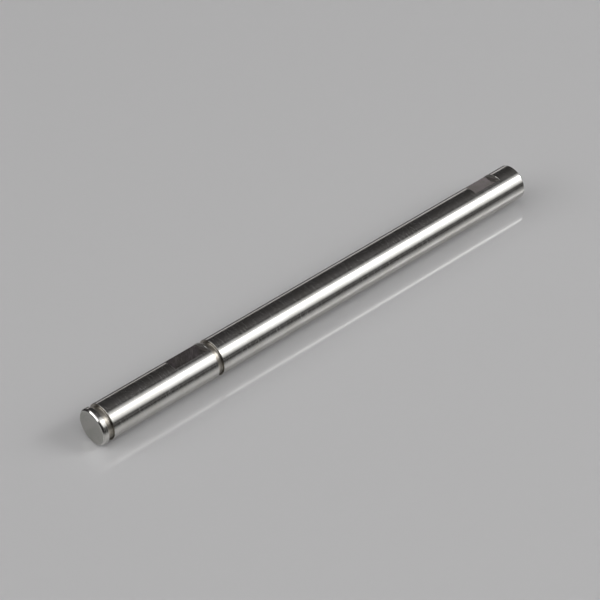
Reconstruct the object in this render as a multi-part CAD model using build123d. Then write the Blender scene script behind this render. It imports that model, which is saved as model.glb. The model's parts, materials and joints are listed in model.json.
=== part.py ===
"""Stepped shaft turned from one steel bar, with two retaining-ring grooves and two set-screw flats.

The shaft's axis is X and +Z is up. The origin is the centre of the front end face.
Everything is in millimetres and degrees.
"""
from build123d import *
import os

# The bar
shaft_diameter = 5.0     # ground diameter, the same on the head, the journal and the seat
shaft_length = 73.0      # over both end faces
end_chamfer = 0.2        # 45 degree chamfer on each end

# The ring grooves, one behind the head and one behind the journal
head_length = 0.8        # short head in front of the front groove
journal_length = 16.6    # between the two grooves
groove_width = 0.8
groove_depth = 0.35      # down from the ground diameter, on the radius

# The flats, milled on one side of the shaft in the same plane
flat_depth = 0.5         # 4.5 mm is left across each flat
front_flat_length = 5.4
front_flat_land = 0.2    # round land between the front flat and the rear groove
rear_flat_length = 4.6
rear_flat_land = 3.3     # round end between the rear flat and the rear end face
flats_lean = 20.0        # the flats face up, leaning this much from +Z towards +Y as it lies

cutter_margin = 1.0      # how far a cutter reaches past the surface that it cuts

# Places that follow from the sizes above
shaft_radius = shaft_diameter / 2
front_groove_start = head_length
journal_start = front_groove_start + groove_width
rear_groove_start = journal_start + journal_length
front_flat_start = rear_groove_start - front_flat_land - front_flat_length
rear_flat_start = shaft_length - rear_flat_land - rear_flat_length


def station(distance):
    """Plane across the shaft, with its normal along +X, at a distance from the front end."""
    return Plane(origin=(distance, 0, 0), x_dir=(0, 1, 0), z_dir=(1, 0, 0))


def chamfered_bar():
    """Round bar from end to end, with a chamfer round both end faces."""
    bar = station(0) * Cylinder(shaft_radius, shaft_length, align=(Align.CENTER, Align.CENTER, Align.MIN))
    end_edges = bar.edges().filter_by(GeomType.CIRCLE)
    return chamfer(end_edges, end_chamfer)


def groove_ring(start):
    """Square-sided ring that a grooving tool removes, from its front wall backwards."""
    from_front_wall = (Align.CENTER, Align.CENTER, Align.MIN)
    swept = Cylinder(shaft_radius + cutter_margin, groove_width, align=from_front_wall)
    core = Cylinder(shaft_radius - groove_depth, groove_width, align=from_front_wall)
    return station(start) * (swept - core)


def flat_block(start, length):
    """Block that a milling cutter removes over one flat, with square ends."""
    standing_on_flat = (Align.MIN, Align.CENTER, Align.MIN)
    block = Box(length, shaft_diameter + 2 * cutter_margin, flat_depth + cutter_margin, align=standing_on_flat)
    return Pos(start, 0, shaft_radius - flat_depth) * block


def shaft():
    """The bar, less its grooves and flats, with the flats square to +Z."""
    turned = chamfered_bar() - groove_ring(front_groove_start) - groove_ring(rear_groove_start)
    front_flat = flat_block(front_flat_start, front_flat_length)
    rear_flat = flat_block(rear_flat_start, rear_flat_length)
    return turned - front_flat - rear_flat


def lying(part):
    """The part rolled about its axis, as it lies on a bench with its flats not quite upwards."""
    return Rot(X=-flats_lean) * part


os.makedirs("parts", exist_ok=True)
export_step(lying(shaft()), "parts/shaft.step")
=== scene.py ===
import json
import math

import bmesh
import bpy
import numpy as np
from mathutils import Matrix, Vector


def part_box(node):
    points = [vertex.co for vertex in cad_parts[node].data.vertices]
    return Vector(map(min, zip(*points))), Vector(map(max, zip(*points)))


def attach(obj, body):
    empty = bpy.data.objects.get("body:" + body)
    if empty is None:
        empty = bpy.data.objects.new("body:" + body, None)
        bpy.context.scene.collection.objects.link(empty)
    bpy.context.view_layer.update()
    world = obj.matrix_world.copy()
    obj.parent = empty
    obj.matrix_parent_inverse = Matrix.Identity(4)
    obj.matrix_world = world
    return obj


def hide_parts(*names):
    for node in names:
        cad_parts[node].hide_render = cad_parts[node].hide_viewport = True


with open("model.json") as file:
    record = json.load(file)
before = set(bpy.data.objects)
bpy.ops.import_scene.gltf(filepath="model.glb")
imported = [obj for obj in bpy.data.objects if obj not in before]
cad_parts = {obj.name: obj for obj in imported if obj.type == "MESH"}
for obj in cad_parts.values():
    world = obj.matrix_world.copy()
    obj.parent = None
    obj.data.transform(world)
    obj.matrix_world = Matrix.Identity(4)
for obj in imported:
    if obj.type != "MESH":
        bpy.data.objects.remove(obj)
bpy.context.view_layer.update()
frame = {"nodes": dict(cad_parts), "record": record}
mm = 0.001
print("frame loaded:", sorted(frame["nodes"]))

# the mounts say where the grooves end, how wide the shaft is and which way its flats face
mounts = {mount["name"]: mount for mount in frame["record"]["mounts"]}
frontEnd, rearEnd = (corner.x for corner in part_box("shaft"))
shaftRadius = mounts["rear_seat"]["dims"]["r_mm"] * mm
flatNormal = np.array(mounts["front_flat"]["axis"])
flatAngle = math.atan2(flatNormal[2], flatNormal[1])
flatHeight = float(np.dot(mounts["front_flat"]["pos_m"], flatNormal))

# each surface of the shaft has one of these finishes, and the number is its material slot; the groove
# walls' one, shoulder, has its colour darkened as painted shade
ground, turned, milled, faced, shoulder = range(5)

shaftShape = {
    "grooveDepth": 0.35 * mm,
    "frontFlatLength": 5.4 * mm,
    "rearFlatLength": 4.6 * mm,
    "edgeBreak": 0.06 * mm,       # softening that deburring leaves on every corner
    "edgeSteps": 6,               # rows across one softened corner
    "flatEdgeBlend": 0.02 * mm,   # softening of the flats' long edges
    "cornerShare": 0.3,           # most of a leg that one softened corner takes
    "outerRow": 0.5,              # how far beyond a corner the next row lies, in edge breaks
    "columns": 360,               # faces round the shaft, before the extra ones at the flats' edges
    "fineAngles": (0.2, 0.4, 0.7, 1.0, 1.5),   # degrees of those to either side of an edge
    "clearAngle": 1.9,            # degrees from an edge within which the even ones are left out
    "mergeDistance": 1e-7,        # points closer than this are one
    "shortestEdge": 1e-8,
}


# front and rear station of a mount: middle - length / 2 and middle + length / 2
def spanOf(name, length=None):
    middle = mounts[name]["pos_m"][0]
    half = (length or mounts[name]["dims"]["length_mm"] * mm) / 2
    return middle - half, middle + half


# corners of the half section from the front centre to the rear centre, as (station, radius, cut, finish):
# cut is how deep the flats' plane lies under the ground surface there, and finish is that of the leg
# that leaves the corner
def shaftOutline():
    journalStart, journalEnd = spanOf("front_journal")
    seatStart, seatEnd = spanOf("rear_seat")
    grooveWidth = seatStart - journalEnd
    chamfer = rearEnd - seatEnd
    full = shaftRadius
    floor = full - shaftShape["grooveDepth"]
    deep = full - flatHeight
    corners = [
        (frontEnd, 0, 0, faced),
        (frontEnd, full - chamfer, 0, ground),
        (frontEnd + chamfer, full, 0, ground),
    ]
    flats = [
        (journalStart, spanOf("front_flat", shaftShape["frontFlatLength"])),
        (seatStart, spanOf("rear_flat", shaftShape["rearFlatLength"])),
    ]
    for grooveEnd, (flatStart, flatEnd) in flats:
        grooveStart = grooveEnd - grooveWidth
        corners += [
            (grooveStart, full, 0, shoulder),
            (grooveStart, floor, 0, turned),
            (grooveEnd, floor, 0, shoulder),
            (grooveEnd, full, 0, ground),
            (flatStart, full, 0, faced),
            (flatStart, full, deep, milled),
            (flatEnd, full, deep, faced),
            (flatEnd, full, 0, ground),
        ]
    corners += [
        (rearEnd - chamfer, full, 0, ground),
        (rearEnd, full - chamfer, 0, faced),
        (rearEnd, 0, 0, faced),
    ]
    return np.array(corners)


# rows of the surface: each corner P1 becomes the parabola (1-t)^2 P0 + 2 t (1-t) P1 + t^2 P2, where P0
# and P2 lie one edge break away along its two legs, or a share of a short leg; one more row beyond each
# of them keeps the wide surfaces beside the corner straight in the shading
def softenedRows(outline):
    corners, finish = outline[:, :3], outline[:, 3]
    legs = np.diff(corners, axis=0)
    lengths = np.linalg.norm(legs, axis=1, keepdims=True)
    along = legs / lengths
    setBack = np.minimum(shaftShape["edgeBreak"], lengths * shaftShape["cornerShare"])
    first = corners[1:-1] - along[:-1] * setBack[:-1]
    last = corners[1:-1] + along[1:] * setBack[1:]
    middle = corners[1:-1, None]
    t = np.linspace(0, 1, shaftShape["edgeSteps"])[None, :, None]
    arcs = (1 - t) ** 2 * first[:, None] + 2 * t * (1 - t) * middle + t ** 2 * last[:, None]
    lead = first - along[:-1] * setBack[:-1] * shaftShape["outerRow"]
    trail = last + along[1:] * setBack[1:] * shaftShape["outerRow"]
    rows = np.concatenate([lead[:, None], arcs, trail[:, None]], axis=1)
    half = rows.shape[1] // 2
    before = np.repeat(finish[:-2, None], half, 1)
    after = np.repeat(finish[1:-1, None], rows.shape[1] - half, 1)
    rowFinish = np.concatenate([before, after], axis=1)
    onEdge = np.zeros(rows.shape[:2])
    onEdge[:, 1:-1] = np.sin(np.linspace(0, math.pi, shaftShape["edgeSteps"]))
    return rows.reshape(-1, 3), rowFinish.ravel(), onEdge.ravel()


# angles round the axis: even steps, with finer ones beside the two long edges of the flats, which lie
# acos(height / radius) to either side of the flats' normal
def shaftColumns():
    reach = math.acos(flatHeight / shaftRadius)
    edges = np.array([flatAngle - reach, flatAngle + reach])
    even = np.linspace(0, 2 * math.pi, shaftShape["columns"], endpoint=False)
    oneSide = np.array(shaftShape["fineAngles"])
    fine = np.radians(np.concatenate([-oneSide[::-1], [0], oneSide]))
    fromEdges = np.min(np.abs(even[:, None] - edges[None, :]), axis=1)
    clear = fromEdges > math.radians(shaftShape["clearAngle"])
    columns = np.concatenate([even[clear], (edges[:, None] + fine[None, :]).ravel()])
    return np.sort(columns), reach


# radius(station, angle) = the lesser of the turned radius and the flat's height / cos(angle from its
# normal), a and b, blended as min(a, b) - max(blend - |a - b|, 0)^2 / (4 blend)
def makeShaft():
    leastCosine = 0.05      # where the flats' plane faces away, it stays far outside the bar
    speck = 1e-9            # a cut shallower than this is none
    leastBlend = 1e-12      # keeps the blend from dividing by nothing
    rows, rowFinish, onEdge = softenedRows(shaftOutline())
    columns, reach = shaftColumns()
    station, turnedRadius, cut = (rows[:, [k]] for k in range(3))
    fromNormal = (columns - flatAngle + math.pi) % (2 * math.pi) - math.pi
    facing = np.maximum(np.cos(fromNormal), leastCosine)[None, :]
    milledRadius = (shaftRadius - cut) / facing
    depthShare = np.minimum(cut / (shaftRadius - flatHeight), 1)
    blend = shaftShape["flatEdgeBlend"] * depthShare + leastBlend
    overlap = np.maximum(blend - np.abs(turnedRadius - milledRadius), 0)
    radius = np.minimum(turnedRadius, milledRadius) - overlap ** 2 / (4 * blend)
    y, z = radius * np.cos(columns), radius * np.sin(columns)
    grid = np.stack([np.broadcast_to(station, y.shape), y, z], axis=-1)
    rowCount, columnCount = y.shape
    points = np.vstack([grid.reshape(-1, 3), [[frontEnd, 0, 0], [rearEnd, 0, 0]]])

    index = np.arange(rowCount * columnCount).reshape(rowCount, columnCount)
    ahead = np.roll(index, -1, axis=1)
    quads = np.stack([index[:-1], ahead[:-1], ahead[1:], index[1:]], axis=-1).reshape(-1, 4)
    frontFan = np.stack([np.full(columnCount, len(points) - 2), ahead[0], index[0]], axis=-1)
    rearFan = np.stack([np.full(columnCount, len(points) - 1), index[-1], ahead[-1]], axis=-1)
    onFlat = (cut[:-1] > speck) | (cut[1:] > speck)
    inReach = np.abs(fromNormal)[None, :] < reach
    finish = np.where(onFlat & ~inReach, ground, rowFinish[:-1, None])
    finish = np.concatenate([finish.ravel(), np.full(2 * columnCount, faced)])

    mesh = bpy.data.meshes.new("steelShaft")
    mesh.from_pydata(points.tolist(), [], quads.tolist() + frontFan.tolist() + rearFan.tolist())
    mesh.polygons.foreach_set("material_index", finish.astype(np.int32))
    mesh.polygons.foreach_set("use_smooth", np.ones(len(mesh.polygons), dtype=bool))
    edgeWear = mesh.attributes.new("edgeWear", "FLOAT", "POINT")
    wear = np.concatenate([np.repeat(onEdge, columnCount), [0, 0]])
    edgeWear.data.foreach_set("value", wear.astype(np.float32))

    # beside the flats' ends the rows of a wall fall on one another, so they are merged
    skin = bmesh.new()
    skin.from_mesh(mesh)
    bmesh.ops.remove_doubles(skin, verts=skin.verts, dist=shaftShape["mergeDistance"])
    bmesh.ops.dissolve_degenerate(skin, edges=skin.edges, dist=shaftShape["shortestEdge"])
    bmesh.ops.recalc_face_normals(skin, faces=skin.faces)
    skin.to_mesh(mesh)
    skin.free()
    shaft = bpy.data.objects.new("steelShaft", mesh)
    bpy.context.scene.collection.objects.link(shaft)
    return shaft


# each input of a node takes a number or the socket it is fed from
def feed(tree, node, inputs):
    for socket, value in inputs.items():
        if isinstance(value, bpy.types.NodeSocket):
            tree.links.new(value, node.inputs[socket])
        else:
            node.inputs[socket].default_value = value


# one node, with its inputs fed and its own properties set
def addNode(tree, kind, inputs=None, **settings):
    node = tree.nodes.new(kind)
    for name, value in settings.items():
        setattr(node, name, value)
    feed(tree, node, inputs or {})
    return node


# sockets of the Mix node by number, because their names repeat for each kind of value
numberA, numberB, mixedNumber = 2, 3, 0
colourA, colourB, mixedColour = 6, 7, 2


# an empty group with named sockets, given as {name: kind}
def startGroup(name, takes, gives):
    group = bpy.data.node_groups.new(name, "ShaderNodeTree")
    for socket, kind in takes.items():
        group.interface.new_socket(socket, in_out="INPUT", socket_type="NodeSocket" + kind)
    for socket, kind in gives.items():
        group.interface.new_socket(socket, in_out="OUTPUT", socket_type="NodeSocket" + kind)
    return group, group.nodes.new("NodeGroupInput").outputs


# detail of each pattern's noise, and the part of its range that is spread to 0 to 1
markNoise = {"detail": 3, "low": 0.3, "high": 0.7}
filmNoise = {"detail": 2, "low": 0.38, "high": 0.62}
wearNoise = {"detail": 2, "low": 0.35, "high": 0.65, "perMm": 3, "least": 0.4}


# marks of a tool that runs across the vector's X: noise(x * marks per mm, y / length, z / length)
def makeToolMarks():
    takes = {"Vector": "Vector", "Marks per mm": "Float", "Length in mm": "Float"}
    group, given = startGroup("toolMarks", takes, {"Marks": "Float"})
    parts = addNode(group, "ShaderNodeSeparateXYZ", {"Vector": given["Vector"]})
    inputs = {0: given["Marks per mm"], 1: 1 / mm}
    perMetre = addNode(group, "ShaderNodeMath", inputs, operation="MULTIPLY")
    inputs = {0: 1 / mm, 1: given["Length in mm"]}
    lengthShare = addNode(group, "ShaderNodeMath", inputs, operation="DIVIDE")
    scaled = []
    for axis, scale in (("X", perMetre), ("Y", lengthShare), ("Z", lengthShare)):
        inputs = {0: parts.outputs[axis], 1: scale.outputs[0]}
        scaled.append(addNode(group, "ShaderNodeMath", inputs, operation="MULTIPLY").outputs[0])
    place = addNode(group, "ShaderNodeCombineXYZ", dict(zip("XYZ", scaled)))
    inputs = {"Vector": place.outputs[0], "Scale": 1, "Detail": markNoise["detail"]}
    noise = addNode(group, "ShaderNodeTexNoise", inputs)
    inputs = {"Value": noise.outputs["Fac"], "From Min": markNoise["low"], "From Max": markNoise["high"]}
    marks = addNode(group, "ShaderNodeMapRange", inputs)
    addNode(group, "NodeGroupOutput", {"Marks": marks.outputs["Result"]})
    return group


# patches of thin oil and handling: smoothstep of noise(vector * patches per mm) about one half
def makeOilFilm():
    takes = {"Vector": "Vector", "Patches per mm": "Float"}
    group, given = startGroup("oilFilm", takes, {"Film": "Float"})
    inputs = {0: given["Patches per mm"], 1: 1 / mm}
    perMetre = addNode(group, "ShaderNodeMath", inputs, operation="MULTIPLY")
    inputs = {"Vector": given["Vector"], "Scale": perMetre.outputs[0], "Detail": filmNoise["detail"]}
    noise = addNode(group, "ShaderNodeTexNoise", inputs)
    inputs = {"Value": noise.outputs["Fac"], "From Min": filmNoise["low"], "From Max": filmNoise["high"]}
    film = addNode(group, "ShaderNodeMapRange", inputs, interpolation_type="SMOOTHSTEP")
    addNode(group, "NodeGroupOutput", {"Film": film.outputs["Result"]})
    return group


# handled corners: wear * (least + (1 - least) * noise(vector)) mixes the finish with a bright bare edge
def makeBrightEdge():
    takes = {"Vector": "Vector", "Wear": "Float", "Colour": "Color", "Edge Colour": "Color",
             "Roughness": "Float", "Edge Roughness": "Float"}
    group, given = startGroup("brightEdge", takes, {"Colour": "Color", "Roughness": "Float"})
    inputs = {"Vector": given["Vector"], "Scale": wearNoise["perMm"] / mm, "Detail": wearNoise["detail"]}
    noise = addNode(group, "ShaderNodeTexNoise", inputs)
    inputs = {"Value": noise.outputs["Fac"], "From Min": wearNoise["low"], "From Max": wearNoise["high"],
              "To Min": wearNoise["least"]}
    breakup = addNode(group, "ShaderNodeMapRange", inputs)
    inputs = {0: given["Wear"], 1: breakup.outputs["Result"]}
    share = addNode(group, "ShaderNodeMath", inputs, operation="MULTIPLY")
    inputs = {"Factor": share.outputs[0], colourA: given["Colour"], colourB: given["Edge Colour"]}
    colour = addNode(group, "ShaderNodeMix", inputs, data_type="RGBA")
    inputs = {"Factor": share.outputs[0], numberA: given["Roughness"], numberB: given["Edge Roughness"]}
    roughness = addNode(group, "ShaderNodeMix", inputs, data_type="FLOAT")
    inputs = {"Colour": colour.outputs[mixedColour], "Roughness": roughness.outputs[mixedNumber]}
    addNode(group, "NodeGroupOutput", inputs)
    return group


# the finishes: film is the oil's patches, smooth and rough are the roughness between the marks and in
# the deepest of them, and marks above roughFrom are the deep ones
edgeLook = {"colour": (0.7, 0.69, 0.66), "roughness": 0.14}
groundLook = {
    "colour": (0.63, 0.62, 0.6),
    "filmColour": (0.58, 0.57, 0.54),
    "smooth": 0.12,
    "rough": 0.3,
    "roughFrom": 0.5,
    "marksPerMm": 65,
    "markLength": 2,         # in mm, along the marks
    "markDepth": 0.0001 * mm,
    "patchesPerMm": 0.35,
}
turnedLook = {
    "colour": (0.5, 0.47, 0.42),
    "filmColour": (0.42, 0.39, 0.34),
    "smooth": 0.28,
    "rough": 0.45,
    "roughFrom": 0.3,
    "marksPerMm": 14,
    "markLength": 3,
    "markDepth": 0.0015 * mm,
    "patchesPerMm": 0.9,
}
# the groove walls: their colour and film colour, darker than the turned steel's, are painted shade for the
# shade inside the grooves; their marks and roughness are a turned finish
shadedShoulderLook = {
    "colour": (0.32, 0.295, 0.26),
    "filmColour": (0.26, 0.24, 0.2),
    "smooth": 0.2,
    "rough": 0.35,
    "roughFrom": 0.4,
    "marksPerMm": 14,
    "markLength": 3,
    "markDepth": 0.001 * mm,
    "patchesPerMm": 0.9,
}
milledLook = {
    "colour": (0.34, 0.305, 0.31),
    "filmColour": (0.3, 0.28, 0.26),
    "smooth": 0.13,
    "rough": 0.24,
    "roughFrom": 0.6,
    "marksPerMm": 8,
    "markLength": 2.5,
    "markDepth": 0.0015 * mm,
    "patchesPerMm": 0.6,
    "markTurn": math.radians(35),   # the cutter's marks run slanting over the flats
}
facedLook = {
    "colour": (0.505, 0.495, 0.47),
    "filmColour": (0.45, 0.45, 0.42),
    "smooth": 0.36,
    "rough": 0.5,
    "roughFrom": 0.3,
    "marksPerMm": 7,
    "markLength": 4,
    "markDepth": 0.001 * mm,
    "patchesPerMm": 0.45,
}


# the vector whose X runs across the tool's marks: the place itself for grinding, the place turned round
# Z by markTurn for milling, and x + sqrt(y^2 + z^2) for the rings of turning and facing
def acrossMarks(tree, place, finish, look):
    if finish == ground:
        return place
    if finish == milled:
        turn = {"Vector": place, "Rotation": (0, 0, look["markTurn"])}
        return addNode(tree, "ShaderNodeMapping", turn).outputs["Vector"]
    parts = addNode(tree, "ShaderNodeSeparateXYZ", {"Vector": place})
    flat = addNode(tree, "ShaderNodeCombineXYZ", {"Y": parts.outputs["Y"], "Z": parts.outputs["Z"]})
    fromAxis = addNode(tree, "ShaderNodeVectorMath", {0: flat.outputs[0]}, operation="LENGTH")
    inputs = {0: parts.outputs["X"], 1: fromAxis.outputs["Value"]}
    across = addNode(tree, "ShaderNodeMath", inputs, operation="ADD")
    inputs = {"X": across.outputs[0], "Y": parts.outputs["Y"], "Z": parts.outputs["Z"]}
    return addNode(tree, "ShaderNodeCombineXYZ", inputs).outputs[0]


# bare steel: the oil film mixes the two colours, the deep marks set the roughness, the bright bare edge
# goes over both, and all marks set the height
def makeSteel(name, finish, look):
    material = bpy.data.materials.new(name)
    material.use_nodes = True
    tree = material.node_tree
    place = addNode(tree, "ShaderNodeTexCoord").outputs["Object"]
    wear = addNode(tree, "ShaderNodeAttribute", attribute_name="edgeWear")
    inputs = {"Vector": acrossMarks(tree, place, finish, look), "Marks per mm": look["marksPerMm"],
              "Length in mm": look["markLength"]}
    marks = addNode(tree, "ShaderNodeGroup", node_tree=toolMarks)
    feed(tree, marks, inputs)
    film = addNode(tree, "ShaderNodeGroup", node_tree=oilFilm)
    feed(tree, film, {"Vector": place, "Patches per mm": look["patchesPerMm"]})
    inputs = {"Factor": film.outputs["Film"], colourA: (*look["colour"], 1),
              colourB: (*look["filmColour"], 1)}
    colour = addNode(tree, "ShaderNodeMix", inputs, data_type="RGBA")
    inputs = {"Value": marks.outputs["Marks"], "From Min": look["roughFrom"], "From Max": 1,
              "To Min": look["smooth"], "To Max": look["rough"]}
    roughness = addNode(tree, "ShaderNodeMapRange", inputs)
    edge = addNode(tree, "ShaderNodeGroup", node_tree=brightEdge)
    feed(tree, edge, {
        "Vector": place,
        "Wear": wear.outputs["Fac"],
        "Colour": colour.outputs[mixedColour],
        "Edge Colour": (*edgeLook["colour"], 1),
        "Roughness": roughness.outputs["Result"],
        "Edge Roughness": edgeLook["roughness"],
    })
    inputs = {"Height": marks.outputs["Marks"], "Strength": 1, "Distance": look["markDepth"]}
    bump = addNode(tree, "ShaderNodeBump", inputs)
    feed(tree, tree.nodes["Principled BSDF"], {
        "Base Color": edge.outputs["Colour"],
        "Metallic": 1,
        "Roughness": edge.outputs["Roughness"],
        "Normal": bump.outputs["Normal"],
    })
    return material


toolMarks = makeToolMarks()
oilFilm = makeOilFilm()
brightEdge = makeBrightEdge()
shaft = makeShaft()
finishes = [
    ("groundSteel", ground, groundLook),
    ("turnedSteel", turned, turnedLook),
    ("milledSteel", milled, milledLook),
    ("facedSteel", faced, facedLook),
    ("shoulderSteel", shoulder, shadedShoulderLook),
]
for name, finish, look in finishes:
    shaft.data.materials.append(makeSteel(name, finish, look))
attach(shaft, "root")
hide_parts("shaft")
print("shaft made:", len(shaft.data.polygons), "faces")


floorLook = {
    "size": 6.0,
    "colour": (0.632, 0.63, 0.634),
    "lowColour": (0.05, 0.05, 0.05),    # painted shade: the colour the table takes at a low glance, darker than its own
    "lowFrom": 0.45,                    # share of facing away at which that starts
    "lowTo": 0.8,                       # and at which it is complete
    "glanceBlend": 0.5,                 # at one half, facing away is 1 - the cosine
    "roughness": 0.035,
    "ior": 1.5,
}


# a square table top at the shaft's underside: smoothstep(facing away, lowFrom, lowTo) mixes its colour
# with lowColour, so that it is painted darker where it is seen at a low glance
def makeFloor(look):
    half = look["size"] / 2
    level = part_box("shaft")[0].z
    corners = [(-half, -half, level), (half, -half, level), (half, half, level), (-half, half, level)]
    mesh = bpy.data.meshes.new("tableTop")
    mesh.from_pydata(corners, [], [(0, 1, 2, 3)])
    floor = bpy.data.objects.new("tableTop", mesh)
    bpy.context.scene.collection.objects.link(floor)
    material = bpy.data.materials.new("paleTable")
    material.use_nodes = True
    tree = material.node_tree
    glance = addNode(tree, "ShaderNodeLayerWeight", {"Blend": look["glanceBlend"]})
    low = {"Value": glance.outputs["Facing"], "From Min": look["lowFrom"], "From Max": look["lowTo"]}
    ramp = addNode(tree, "ShaderNodeMapRange", low, interpolation_type="SMOOTHSTEP")
    inputs = {"Factor": ramp.outputs["Result"], colourA: (*look["colour"], 1),
              colourB: (*look["lowColour"], 1)}
    colour = addNode(tree, "ShaderNodeMix", inputs, data_type="RGBA")
    feed(tree, tree.nodes["Principled BSDF"], {
        "Base Color": colour.outputs[mixedColour],
        "Roughness": look["roughness"],
        "IOR": look["ior"],
    })
    mesh.materials.append(material)


softBoxLook = {
    "middle": Vector((0.79, -0.55, 0.585)),
    "faces": Vector((0, 0.727, -0.687)),
    "roll": math.radians(6),
    "width": 1.1,
    "height": 1.41,
    "brightness": 2.85,
    "sideFade": 0.11,         # width over which the left and right edges fade
    "topFade": 1.2,
    "bottomFade": 0.8,
    "core": 16.0,             # brightness where the bulb shows through the cloth
    "coreAt": (0.13, 0.02),
    "coreReach": (0.42, 0.22),
}


# a cloth lit from behind: its brightness rises to the core's by smoothstep(length of the way to the
# core's middle / its reach, 1 to 0), and is multiplied by four smoothstep fades towards the edges
def makeSoftBox(look):
    halfWidth, halfHeight = look["width"] / 2, look["height"] / 2
    corners = [(-halfWidth, -halfHeight, 0), (halfWidth, -halfHeight, 0),
               (halfWidth, halfHeight, 0), (-halfWidth, halfHeight, 0)]
    mesh = bpy.data.meshes.new("softBox")
    mesh.from_pydata(corners, [], [(0, 1, 2, 3)])
    box = bpy.data.objects.new("softBox", mesh)
    box.location = look["middle"]
    facing = look["faces"].to_track_quat("Z", "Y").to_matrix().to_4x4()
    box.rotation_euler = (facing @ Matrix.Rotation(look["roll"], 4, "Z")).to_euler()
    box.visible_camera = False
    bpy.context.scene.collection.objects.link(box)
    material = bpy.data.materials.new("softBoxCloth")
    material.use_nodes = True
    tree = material.node_tree
    tree.nodes.clear()
    place = addNode(tree, "ShaderNodeTexCoord").outputs["Object"]
    parts = addNode(tree, "ShaderNodeSeparateXYZ", {"Vector": place})
    offset = addNode(tree, "ShaderNodeVectorMath", {0: place, 1: (*look["coreAt"], 0)},
                     operation="SUBTRACT")
    scaled = addNode(tree, "ShaderNodeVectorMath", {0: offset.outputs[0], 1: (*look["coreReach"], 1)},
                     operation="DIVIDE")
    distance = addNode(tree, "ShaderNodeVectorMath", {0: scaled.outputs[0]}, operation="LENGTH")
    strength = addNode(tree, "ShaderNodeMapRange", {
        "Value": distance.outputs["Value"], "From Min": 1, "From Max": 0,
        "To Min": look["brightness"], "To Max": look["core"],
    }, interpolation_type="SMOOTHSTEP").outputs["Result"]
    edges = (("X", halfWidth, look["sideFade"]), ("X", -halfWidth, -look["sideFade"]),
             ("Y", halfHeight, look["topFade"]), ("Y", -halfHeight, -look["bottomFade"]))
    for axis, limit, fadeLength in edges:
        inputs = {"Value": parts.outputs[axis], "From Min": limit, "From Max": limit - fadeLength}
        fade = addNode(tree, "ShaderNodeMapRange", inputs, interpolation_type="SMOOTHSTEP")
        inputs = {0: strength, 1: fade.outputs["Result"]}
        strength = addNode(tree, "ShaderNodeMath", inputs, operation="MULTIPLY").outputs[0]
    emission = addNode(tree, "ShaderNodeEmission", {"Strength": strength})
    addNode(tree, "ShaderNodeOutputMaterial", {"Surface": emission.outputs[0]})
    mesh.materials.append(material)


lampLooks = {
    "ceiling": {
        "middle": Vector((-1.0, -0.1, 1.44)),
        "faces": Vector((0, 0, -1)),
        "width": 2.75,
        "height": 4.8,
        "brightness": 0.54,
    },
    "window": {
        "middle": Vector((-1.35, 0.53, 0.68)),
        "faces": Vector((1.35, -0.53, -0.68)),
        "width": 1.6,
        "height": 0.45,
        "brightness": 2.4,
    },
}


# a rectangular lamp: power = watts per brightness * brightness * width * height
def makeLamp(name, look):
    wattsPerBrightness = 4      # for a square metre of lamp that looks as bright as 1
    lamp = bpy.data.lights.new(name, "AREA")
    lamp.shape = "RECTANGLE"
    lamp.size, lamp.size_y = look["width"], look["height"]
    lamp.energy = wattsPerBrightness * look["brightness"] * look["width"] * look["height"]
    box = bpy.data.objects.new(name, lamp)
    box.location = look["middle"]
    box.rotation_euler = look["faces"].to_track_quat("-Z", "Y").to_euler()
    box.visible_camera = False
    bpy.context.scene.collection.objects.link(box)


roomLook = {
    "colour": (1.0, 0.965, 0.975),
    "glow": 0.045,            # the dim room above
    "haze": 0.18,             # what the soft box throws on the ceiling round itself
    "hazeFrom": Vector((0.5, -0.56, 0.66)),
    "hazeFall": 3,            # power of the cosine by which it falls off
    "wallGlow": 0.78,         # the pale wall that stands round the table
    "wallTop": 0.1,           # height of its upper edge, as the sine of the angle above the table
    "wallEdge": 0.03,         # height over which that edge fades
    "wallRise": 0.25,         # how the edge climbs towards +X, from the next value onwards
    "wallRiseFrom": 0.467,
    "doorway": Vector((0.55, -0.835, 0)),   # the wall has a dim gap this way
    "doorGlow": 0.14,
    "doorStart": 0.85,        # cosines from the doorway between which the wall ends
    "doorEnd": 0.93,
}


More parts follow.
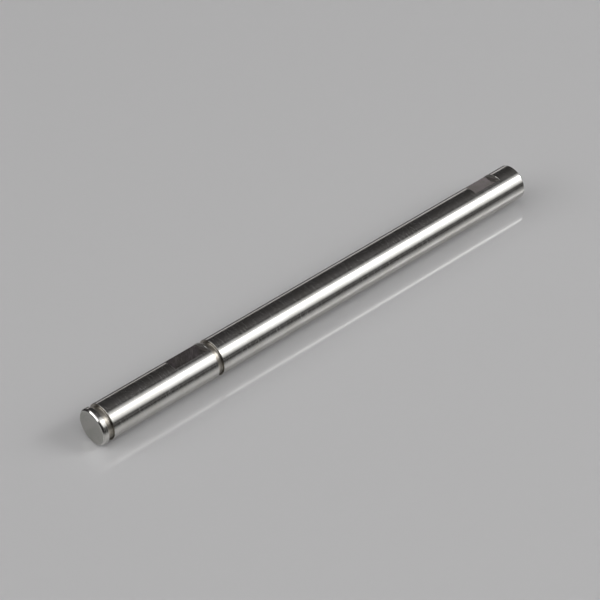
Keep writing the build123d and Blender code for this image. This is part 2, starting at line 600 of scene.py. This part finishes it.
# strength(direction) = plain + (wallGlow - plain) * below the wall's edge * away from the doorway
# + haze * (cosine of the angle from hazeFrom)^hazeFall * height, where plain is the glow, or the
# doorway's own glow towards the doorway
def makeWorld(look):
    world = bpy.data.worlds.new("studio")
    bpy.context.scene.world = world
    world.use_nodes = True
    tree = world.node_tree
    tree.nodes.clear()
    direction = addNode(tree, "ShaderNodeTexCoord").outputs["Generated"]
    parts = addNode(tree, "ShaderNodeSeparateXYZ", {"Vector": direction})
    inputs = {0: parts.outputs["X"], 1: look["wallRiseFrom"]}
    right = addNode(tree, "ShaderNodeMath", inputs, operation="SUBTRACT")
    inputs = {0: right.outputs[0], 1: -look["wallRise"], 2: parts.outputs["Z"]}
    rise = addNode(tree, "ShaderNodeMath", inputs, operation="MULTIPLY_ADD")
    inputs = {"Value": rise.outputs[0], "From Min": look["wallTop"],
              "From Max": look["wallTop"] - look["wallEdge"]}
    low = addNode(tree, "ShaderNodeMapRange", inputs, interpolation_type="SMOOTHSTEP")
    inputs = {0: direction, 1: look["doorway"]}
    towards = addNode(tree, "ShaderNodeVectorMath", inputs, operation="DOT_PRODUCT")
    inputs = {"Value": towards.outputs["Value"], "From Min": look["doorEnd"], "From Max": look["doorStart"]}
    wall = addNode(tree, "ShaderNodeMapRange", inputs, interpolation_type="SMOOTHSTEP")
    both = addNode(tree, "ShaderNodeMath", {0: low.outputs[0], 1: wall.outputs[0]}, operation="MULTIPLY")
    inputs = {"Value": wall.outputs[0], "To Min": look["doorGlow"], "To Max": look["glow"]}
    plain = addNode(tree, "ShaderNodeMapRange", inputs)
    inputs = {"Value": both.outputs[0], "To Min": plain.outputs[0], "To Max": look["wallGlow"]}
    glow = addNode(tree, "ShaderNodeMapRange", inputs)
    inputs = {0: direction, 1: look["hazeFrom"]}
    across = addNode(tree, "ShaderNodeVectorMath", inputs, operation="DOT_PRODUCT")
    above = addNode(tree, "ShaderNodeMath", {0: across.outputs["Value"], 1: 0}, operation="MAXIMUM")
    inputs = {0: above.outputs[0], 1: look["hazeFall"]}
    nearness = addNode(tree, "ShaderNodeMath", inputs, operation="POWER")
    height = addNode(tree, "ShaderNodeMath", {0: parts.outputs["Z"], 1: 0}, operation="MAXIMUM")
    inputs = {0: nearness.outputs[0], 1: height.outputs[0]}
    spread = addNode(tree, "ShaderNodeMath", inputs, operation="MULTIPLY")
    inputs = {0: spread.outputs[0], 1: look["haze"], 2: glow.outputs[0]}
    total = addNode(tree, "ShaderNodeMath", inputs, operation="MULTIPLY_ADD")
    inputs = {"Color": (*look["colour"], 1), "Strength": total.outputs[0]}
    room = addNode(tree, "ShaderNodeBackground", inputs)
    addNode(tree, "ShaderNodeOutputWorld", {"Surface": room.outputs[0]})


view = {
    "aim": Vector((34.6, 0.782, 0.072)) * mm,
    "azimuth": -42.07,      # degrees round from looking along +Y
    "elevation": 40.37,
    "distance": 294.3 * mm,
    "lens": 137.3,
    "clip": (0.01, 20),
}


# camera = aim + distance * (sin a cos e, -cos a cos e, sin e)
def makeCamera(look):
    a, e = math.radians(look["azimuth"]), math.radians(look["elevation"])
    back = Vector((math.sin(a) * math.cos(e), -math.cos(a) * math.cos(e), math.sin(e)))
    lens = bpy.data.cameras.new("camera")
    lens.lens = look["lens"]
    lens.clip_start, lens.clip_end = look["clip"]
    camera = bpy.data.objects.new("camera", lens)
    camera.location = look["aim"] + back * look["distance"]
    camera.rotation_euler = (-back).to_track_quat("-Z", "Y").to_euler()
    bpy.context.scene.collection.objects.link(camera)
    bpy.context.scene.camera = camera


makeFloor(floorLook)
makeSoftBox(softBoxLook)
for name, look in lampLooks.items():
    makeLamp(name, look)
makeWorld(roomLook)
makeCamera(view)
bpy.context.scene.view_settings.view_transform = "Standard"
print("table, lights and camera made")
